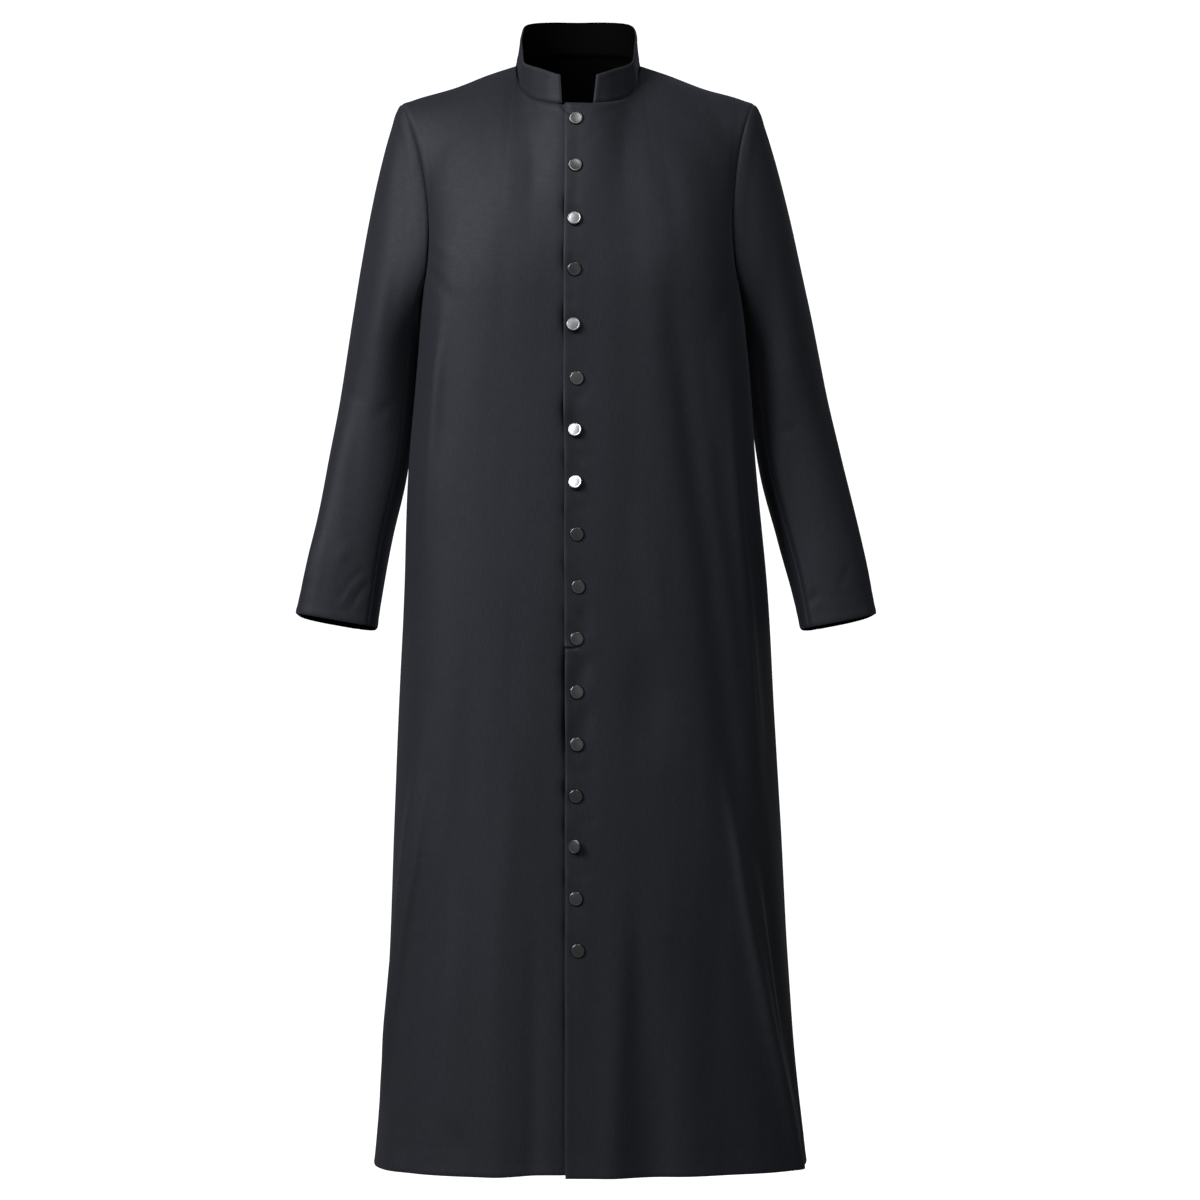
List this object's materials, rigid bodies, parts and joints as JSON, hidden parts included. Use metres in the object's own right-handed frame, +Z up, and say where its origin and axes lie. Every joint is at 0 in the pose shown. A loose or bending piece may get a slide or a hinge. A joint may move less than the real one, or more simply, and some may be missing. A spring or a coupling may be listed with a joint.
{
  "type": "cassock",
  "caption": "Ankle-length black satin cassock with a stand collar, a snap-fastened front, plain two-piece sleeves and a softly flared skirt, in its worn hollow shape.",
  "frame": {"origin": "on the centre line inside the neckline, at the height where the shoulder seams meet the neck, where the wearer's shoulders carry the garment", "axes": "+Z up towards the collar, front faces -Y, +X towards the wearer's left"},
  "size_m": [0.7363, 0.3324, 1.4626],
  "materials": {
    "cassock_cloth": "satin twill, soft sheen",
    "snap_metal": "domed, semi-polished, dark pewter to silver"
  },
  "bodies": {
    "root": {"front_left": "cassock_cloth", "front_right": "cassock_cloth", "back": "cassock_cloth", "sleeve_left_upper": "cassock_cloth", "sleeve_left_under": "cassock_cloth", "sleeve_right_upper": "cassock_cloth", "sleeve_right_under": "cassock_cloth", "collar": "cassock_cloth", "snap_01": "snap_metal", "snap_02": "snap_metal", "snap_03": "snap_metal", "snap_04": "snap_metal", "snap_05": "snap_metal", "snap_06": "snap_metal", "snap_07": "snap_metal", "snap_08": "snap_metal", "snap_09": "snap_metal", "snap_10": "snap_metal", "snap_11": "snap_metal", "snap_12": "snap_metal", "snap_13": "snap_metal", "snap_14": "snap_metal", "snap_15": "snap_metal", "snap_16": "snap_metal", "snap_17": "snap_metal"}
  },
  "joints": []
}
